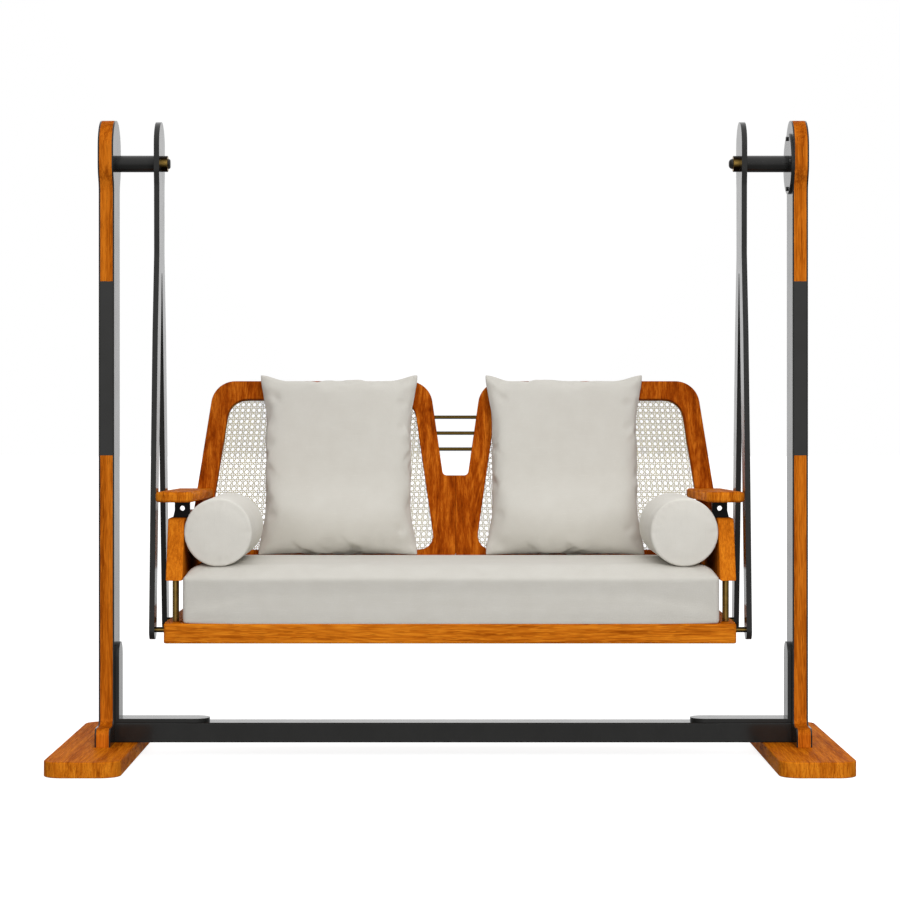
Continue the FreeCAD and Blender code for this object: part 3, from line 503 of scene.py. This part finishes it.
def puff(item, pressure, most, held=None, stiffness=15.0, bending=0.5):
    """Blows the closed cloth up.  No point moves further than `most`; held points stay."""
    before = [vertex.co.copy() for vertex in item.data.vertices]
    step = item.modifiers.new("cloth", "CLOTH")
    step.settings.quality = 5
    step.settings.mass = 0.3
    step.settings.tension_stiffness = stiffness
    step.settings.compression_stiffness = stiffness
    step.settings.shear_stiffness = 5.0
    step.settings.bending_stiffness = bending
    step.settings.use_pressure = True
    step.settings.uniform_pressure_force = pressure
    step.settings.effector_weights.gravity = 0
    step.point_cache.frame_start = 1
    step.point_cache.frame_end = PUFF_FRAMES
    if held is not None:
        pins = item.vertex_groups.new(name="held")
        pins.add([vertex.index for vertex in item.data.vertices if held(vertex.co)], 1.0,
                 "REPLACE")
        step.settings.vertex_group_mass = pins.name
    for number in range(1, PUFF_FRAMES + 1):
        scene.frame_set(number)
    settle(item)
    scene.frame_set(1)
    for vertex, start in zip(item.data.vertices, before):
        travel = vertex.co - start
        if travel.length > most:
            vertex.co = start + travel * (most / travel.length)


def fit(item, low, high):
    """Scales the mesh so that its box runs from low to high."""
    points = [vertex.co for vertex in item.data.vertices]
    for axis in range(3):
        least = min(point[axis] for point in points)
        most = max(point[axis] for point in points)
        scale = (high[axis] - low[axis]) / (most - least)
        for point in points:
            point[axis] = low[axis] + (point[axis] - least) * scale


PAD_STEP = 0.012
PAD_EDGE = 0.556
PAD_INSET = 0.003
PAD_CORNER = 0.014
PAD_END_SHOULDER = 0.040
PAD_FRONT_SLOPE = 0.10
PAD_WALL_SHARE = 0.4
PAD_LIP = 0.008
PAD_LIP_DROP = 0.009
PAD_LIP_RUN_OUT = 0.16
PAD_LIP_REACH = 0.03
PAD_LIP_HEIGHT = 0.05
PAD_PRESSURE = 1.2
PAD_TRAVEL = 0.006
PAD_HELD_HEIGHT = 0.012
PAD_STIFFNESS = 40.0


def grid_block(name, low, high, step, material):
    """A closed block whose six faces are regular grids, the start of a foam cushion."""
    counts = [max(2, round((high[axis] - low[axis]) / step)) for axis in range(3)]
    points, index, faces = [], {}, []

    def corner(*place):
        if place not in index:
            index[place] = len(points)
            points.append([low[axis] + (high[axis] - low[axis]) * place[axis] / counts[axis]
                           for axis in range(3)])
        return index[place]

    for axis in range(3):
        first, second = (axis + 1) % 3, (axis + 2) % 3
        for end in (0, counts[axis]):
            for i in range(counts[first]):
                for j in range(counts[second]):
                    quad = []
                    for di, dj in ((0, 0), (1, 0), (1, 1), (0, 1)):
                        place = [end] * 3
                        place[first], place[second] = i + di, j + dj
                        quad.append(corner(*place))
                    faces.append(quad if end else quad[::-1])
    return piece_from(name, points, faces, material)


def round_plan(point, low, high, radius):
    """Brings a point of the block in to the rounded upright corners."""
    inner_x = min(high.x - radius, max(low.x + radius, point.x))
    inner_y = min(high.y - radius, max(low.y + radius, point.y))
    out = Vector((point.x - inner_x, point.y - inner_y))
    if out.length > radius:
        out *= radius / out.length
        point.x, point.y = inner_x + out.x, inner_y + out.y


def crown(point, low, high):
    """How far up the crowned top has risen at a point, from 0 at the seam to 1."""
    end = clamped(min(point.x - low.x, high.x - point.x) / PAD_END_SHOULDER)
    front = clamped(min(point.y - low.y, high.y - point.y) / PAD_FRONT_SLOPE)
    return math.sqrt(1.0 - (1.0 - end) ** 2) * (1.0 - (1.0 - front) ** 2)


def make_seat_pad():
    """The seat cushion: a foam block with a crowned top and a front lip over the rail."""
    low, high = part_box("seat_cushion")
    start = low + Vector((0.0, PAD_INSET, 0.0))
    end = Vector((high.x, high.y - PAD_INSET, PAD_EDGE))
    pad = grid_block("seat_pad", start, end, PAD_STEP, seat_cloth)
    for vertex in pad.data.vertices:
        point = vertex.co
        on_top = point.z > PAD_EDGE - 0.001
        round_plan(point, start, end, PAD_CORNER)
        if on_top:
            point.z += (high.z - PAD_EDGE) * crown(point, start, end)
    before = [vertex.co.copy() for vertex in pad.data.vertices]
    puff(pad, PAD_PRESSURE, PAD_TRAVEL, stiffness=PAD_STIFFNESS,
         held=lambda point: point.z < low.z + PAD_HELD_HEIGHT)
    for vertex, at_first in zip(pad.data.vertices, before):
        point = vertex.co
        point.x = at_first.x
        point.y = at_first.y + (point.y - at_first.y) * PAD_WALL_SHARE
        from_end = min(point.x - low.x, high.x - point.x)
        middle = clamped(from_end / PAD_LIP_RUN_OUT)
        front = max(0.0, 1.0 - (point.y - low.y) / PAD_LIP_REACH)
        below = max(0.0, 1.0 - (point.z - low.z) / PAD_LIP_HEIGHT)
        lip = middle ** 0.5 * front * below
        point.y -= PAD_LIP * lip
        point.z -= PAD_LIP_DROP * lip * below
    subdivide(pad)
    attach(pad, "swing")
    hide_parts("seat_cushion")


ROLL_SHIFT = 0.0035
ROLL_SLACK = 0.004
ROLL_END_SLACK = 0.006
ROLL_VOXEL = 0.006
ROLL_PRESSURE = 3.0
ROLL_TRAVEL = 0.005
SEAM_INSET = 0.003
SEAM_REACH = 0.004
SEAM_RISE = 0.0012


def make_roll(side):
    """A bolster: a stuffed roll with flat ends and a raised seam round each end."""
    low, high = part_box(f"{side}_bolster")
    middle = (low + high) / 2
    radius = (high.x - low.x) / 2
    length = high.y - low.y
    shape = bmesh.new()
    turn = Matrix.Rotation(math.radians(90), 4, "X")
    slim = radius - ROLL_SLACK
    bmesh.ops.create_cone(shape, cap_ends=True, segments=96, radius1=slim, radius2=slim,
                          depth=length - ROLL_END_SLACK, matrix=turn)
    mesh = bpy.data.meshes.new(f"{side}_roll")
    shape.to_mesh(mesh)
    shape.free()
    roll = bpy.data.objects.new(f"{side}_roll", mesh)
    scene.collection.objects.link(roll)
    mesh.materials.append(roll_cloth)
    remesh(roll, ROLL_VOXEL)
    puff(roll, ROLL_PRESSURE, ROLL_TRAVEL)
    fit(roll, low - middle, high - middle)
    for vertex in roll.data.vertices:
        across = Vector((vertex.co.x, 0.0, vertex.co.z))
        from_end = length / 2 - abs(vertex.co.y)
        from_rim = radius - across.length
        near = math.exp(-((from_end - SEAM_INSET) ** 2 + (from_rim - SEAM_INSET) ** 2)
                        / SEAM_REACH ** 2)
        way = across.normalized() + Vector((0.0, math.copysign(1.0, vertex.co.y), 0.0))
        vertex.co += way * (SEAM_RISE * near)
    roll.location = middle + Vector((SIDES[side] * ROLL_SHIFT, 0.0, 0.0))
    subdivide(roll)
    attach(roll, "swing")
    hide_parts(f"{side}_bolster")


PILLOW_WIDTH = 0.497
PILLOW_HEIGHT = 0.5715
PILLOW_THICKNESS = 0.124
PILLOW_STEP = 0.009
PILLOW_SPARE = 1.06
PILLOW_AIR = 0.016
PILLOW_PRESSURE = {"left": 2.2, "right": 2.1}
PILLOW_TRAVEL = 0.2
PILLOW_SEED = {"left": 1.7, "right": 8.3}
PILLOW_DROP = 0.0098
PILLOW_SIDE_PULL = 0.021
PILLOW_SIDE_EASE = 0.27
PILLOW_TOP_DIP = 0.020
PILLOW_TOP_EASE = 0.17
PILLOW_FOOT_RISE = 0.003
PILLOW_BELLY = 0.040
BELLY_DEPTH = 0.62
BELLY_SPREAD = 0.085
OUTLINE_BINS = 28
EMPTY_BIN = 0.8
PUCKERS_PER_METRE = 24.0
PUCKER_DEPTH = 0.020
PUCKER_INSET = 0.03
PUCKER_REACH = 0.02
# across and up, as shares of half the width and half the height
DIMPLES = ((0.80, 0.66), (0.80, 0.38), (-0.79, 0.72), (-0.82, -0.58), (0.78, -0.74))
DIMPLE_DEPTH = 0.008
DIMPLE_RADIUS = 0.014


def pillow_sheets(width, height):
    """Two sheets of cloth sewn together all round, with a little air between them."""
    columns = round(width / PILLOW_STEP)
    rows = round(height / PILLOW_STEP)
    points = []
    index = {}
    for face in (-1, 1):
        for i in range(columns + 1):
            for j in range(rows + 1):
                rim = i in (0, columns) or j in (0, rows)
                if rim and face == 1:
                    index[face, i, j] = index[-1, i, j]
                    continue
                u, v = i / columns, j / rows
                air = PILLOW_AIR * math.sin(math.pi * u) ** 0.5 * math.sin(math.pi * v) ** 0.5
                index[face, i, j] = len(points)
                points.append(((u - 0.5) * width, face * air, (v - 0.5) * height))
    faces = []
    for face in (-1, 1):
        for i in range(columns):
            for j in range(rows):
                quad = [index[face, i, j], index[face, i + 1, j], index[face, i + 1, j + 1],
                        index[face, i, j + 1]]
                faces.append(quad if face == -1 else quad[::-1])
    return points, faces


def hold_outline(points, measured, across, pulls, ease):
    """Stretches the pillow line by line so that each edge pulls in by a set amount, all of it
    within `ease` of its length from the corners.  `measured` is the axis that is stretched,
    `across` the other one.  The edge is found in bins along it, and a bin without edge points
    takes the edge of its neighbours."""
    reach = [PILLOW_WIDTH / 2, 0.0, PILLOW_HEIGHT / 2]
    count = OUTLINE_BINS
    for sign, pull in zip((-1, 1), pulls):
        edge = [0.0] * (count + 1)
        for point in points:
            place = round((point[across] / reach[across] + 1) / 2 * count)
            place = min(count, max(0, place))
            edge[place] = max(edge[place], point[measured] * sign)
        edge = [max(edge[max(0, place - 1):place + 2])
                if found < reach[measured] * EMPTY_BIN else found
                for place, found in enumerate(edge)]
        scale = []
        for place, found in enumerate(edge):
            share = min(1.0, min(place, count - place) / count / ease)
            wanted = reach[measured] - pull * share * share * (3.0 - 2.0 * share)
            scale.append(wanted / found)
        for point in points:
            if point[measured] * sign > 0:
                place = (point[across] / reach[across] + 1) / 2 * count
                place = min(count - 1e-6, max(0.0, place))
                first = int(place)
                point[measured] *= (scale[first] * (first + 1 - place)
                                    + scale[first + 1] * (place - first))


def gather_and_settle(points, seed):
    """Small puckers where the sewn edge gathers the cloth, deepest near the corners, a few
    soft dimples, and a fuller front low down where the stuffing has settled."""
    half_width, half_height = PILLOW_WIDTH / 2, PILLOW_HEIGHT / 2
    for point in points:
        side_gap = half_width - abs(point.x)
        end_gap = half_height - abs(point.z)
        gap, along, reach = ((side_gap, point.z, half_height) if side_gap < end_gap
                             else (end_gap, point.x, half_width))
        corner = min(1.0, abs(along) / reach) ** 2
        wave = noise.noise(Vector((along * PUCKERS_PER_METRE, seed,
                                   math.copysign(3.0, point.y))))
        depth = (PUCKER_DEPTH * (0.15 + corner)
                 * math.exp(-((gap - PUCKER_INSET) / PUCKER_REACH) ** 2))
        point.y += math.copysign(1.0, point.y) * depth * (wave - 0.15)
        if point.y < 0:
            low_down = math.exp(-((point.z + half_height * BELLY_DEPTH) / BELLY_SPREAD) ** 2)
            across = max(0.0, 1.0 - (point.x / half_width) ** 4)
            point.y -= PILLOW_BELLY * low_down * across
            for spot_x, spot_z in DIMPLES:
                gap_x, gap_z = point.x - spot_x * half_width, point.z - spot_z * half_height
                near = math.exp(-(gap_x ** 2 + gap_z ** 2) / DIMPLE_RADIUS ** 2)
                point.y += DIMPLE_DEPTH * near


def make_pillow(side):
    """A knife-edged pillow with pointed ears, standing on the seat against the back."""
    low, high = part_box(f"{side}_pillow")
    points, faces = pillow_sheets(PILLOW_WIDTH * PILLOW_SPARE, PILLOW_HEIGHT * PILLOW_SPARE)
    pillow = piece_from(f"{side}_throw_pillow", points, faces, pillow_cloth)
    puff(pillow, PILLOW_PRESSURE[side], PILLOW_TRAVEL, stiffness=20.0, bending=0.3)
    half = Vector((PILLOW_WIDTH, PILLOW_THICKNESS, PILLOW_HEIGHT)) / 2
    fit(pillow, -half, half)
    points = [vertex.co for vertex in pillow.data.vertices]
    hold_outline(points, 0, 2, (PILLOW_SIDE_PULL, PILLOW_SIDE_PULL), PILLOW_SIDE_EASE)
    hold_outline(points, 2, 0, (PILLOW_FOOT_RISE, PILLOW_TOP_DIP), PILLOW_TOP_EASE)
    gather_and_settle(points, PILLOW_SEED[side])
    down_slope = Vector((0.0, -math.sin(BACK_LEAN), -math.cos(BACK_LEAN)))
    pillow.rotation_euler = (-BACK_LEAN, 0, 0)
    pillow.location = (low + high) / 2 + down_slope * PILLOW_DROP
    subdivide(pillow)
    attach(pillow, "swing")
    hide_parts(f"{side}_pillow")


# ---- woven cane ----------------------------------------------------------------------------

CANE_COLUMN = 0.0175
CANE_ROW = 0.0179
CANE_SHEAR = 0.1
STRAND_WIDTH = 0.0013
STRAND_THICKNESS = 0.0008
PAIR_GAP = 0.0050
INTO_FRAME = 0.003
WAVE_SHARE = 0.45
SHORTEST_STEP = 0.2
DIAGONAL_STEP = 0.5
DIAGONAL_LIFT = 0.0004
FAR = 1e9
TINY = 1e-9


def hull(points):
    """The outline round the points, anticlockwise."""
    points = sorted(set(points))

    def chain(ordered):
        kept = []
        for point in ordered:
            while len(kept) > 1:
                (ax, ay), (bx, by) = kept[-2], kept[-1]
                if (bx - ax) * (point[1] - ay) - (by - ay) * (point[0] - ax) > 0:
                    break
                kept.pop()
            kept.append(point)
        return kept[:-1]

    return chain(points) + chain(points[::-1])


def clip(start, way, outline):
    """The stretch of the line start + t * way that lies inside the outline, or None."""
    first, last = -FAR, FAR
    for (ax, ay), (bx, by) in zip(outline, outline[1:] + outline[:1]):
        out_x, out_y = by - ay, ax - bx
        size = math.hypot(out_x, out_y)
        if size < TINY:
            continue
        gap = ((ax - start[0]) * out_x + (ay - start[1]) * out_y) / size + INTO_FRAME
        speed = (way[0] * out_x + way[1] * out_y) / size
        if abs(speed) < TINY:
            if gap < 0:
                return None
        elif speed > 0:
            last = min(last, gap / speed)
        else:
            first = max(first, gap / speed)
    return (first, last) if first < last - CANE_COLUMN / 4 else None


class Weave:
    """Collects strands of cane as thin lens-shaped ribbons."""

    def __init__(self, middle):
        self.middle = middle
        self.points = []
        self.faces = []

    def place(self, across, up, depth):
        """A point of the panel's own plane, leaned back with the backrest."""
        upward = Vector((0.0, math.sin(BACK_LEAN), math.cos(BACK_LEAN)))
        forward = Vector((0.0, -math.cos(BACK_LEAN), math.sin(BACK_LEAN)))
        return self.middle + Vector((across, 0, 0)) + upward * up + forward * depth

    def strand(self, start, way, outline, step, phase, level):
        """One strand, passing over and under at every step."""
        span = clip(start, way, outline)
        if span is None:
            return
        length = math.hypot(*way)
        side = Vector((-way[1], way[0])) / length * (STRAND_WIDTH / 2)
        marks = [span[0]]
        mark = math.ceil(span[0] / step) * step
        while mark < span[1]:
            if mark - marks[-1] > step * SHORTEST_STEP:
                marks.append(mark)
            mark += step
        marks.append(span[1])
        rings = []
        for mark in marks:
            across = start[0] + way[0] * mark
            up = start[1] + way[1] * mark
            turn = 1 if (round(mark / step) + phase) % 2 else -1
            depth = level + turn * STRAND_THICKNESS * WAVE_SHARE
            ring = [self.place(across + side.x, up + side.y, depth),
                    self.place(across, up, depth + STRAND_THICKNESS / 2),
                    self.place(across - side.x, up - side.y, depth),
                    self.place(across, up, depth - STRAND_THICKNESS / 2)]
            rings.append(range(len(self.points), len(self.points) + 4))
            self.points += ring
        for near, far in zip(rings, rings[1:]):
            for k in range(4):
                n = (k + 1) % 4
                self.faces.append((near[k], near[n], far[n], far[k]))
        self.faces.append(tuple(rings[0])[::-1])
        self.faces.append(tuple(rings[-1]))


def make_cane(side):
    """Six-way chair caning: upright and level pairs, and a diagonal each way."""
    name = f"{side}_cane_panel"
    low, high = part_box(name)
    cosine, sine = math.cos(BACK_LEAN), math.sin(BACK_LEAN)
    middle = (low + high) / 2
    flat = [(point.co.x - middle.x,
             (point.co.z - middle.z) * cosine + (point.co.y - middle.y) * sine)
            for point in nodes[name].data.vertices]
    outline = hull([(round(x, 5), round(y, 5)) for x, y in flat])
    weave = Weave(middle)
    lean = -CANE_SHEAR * SIDES[side]
    reach = max(high.x - low.x, high.z - low.z)
    count = int(reach / CANE_COLUMN) + 2
    for i in range(-count, count + 1):
        for half, phase in ((-1, 0), (1, 1)):
            offset = half * PAIR_GAP / 2
            weave.strand((i * CANE_COLUMN + offset, 0.0), (lean, 1.0), outline,
                         CANE_ROW / 2, phase + i, 0.0)
            weave.strand((0.0, i * CANE_ROW + offset), (1.0, 0.0), outline,
                         CANE_COLUMN / 2, phase + i, 0.0)
        for slope, phase in ((1, 0), (-1, 1)):
            way = (CANE_COLUMN * slope + lean * CANE_ROW, CANE_ROW)
            start = ((i + 0.5) * CANE_COLUMN, 0.0)
            weave.strand(start, way, outline, DIAGONAL_STEP, phase + i, DIAGONAL_LIFT * slope)
    panel = piece_from(f"{side}_woven_cane", weave.points, weave.faces, split_cane)
    shade_smooth(panel)
    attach(panel, "swing")
    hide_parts(name)


make_seat_pad()
for side in SIDES:
    make_roll(side)
    make_pillow(side)
    make_cane(side)
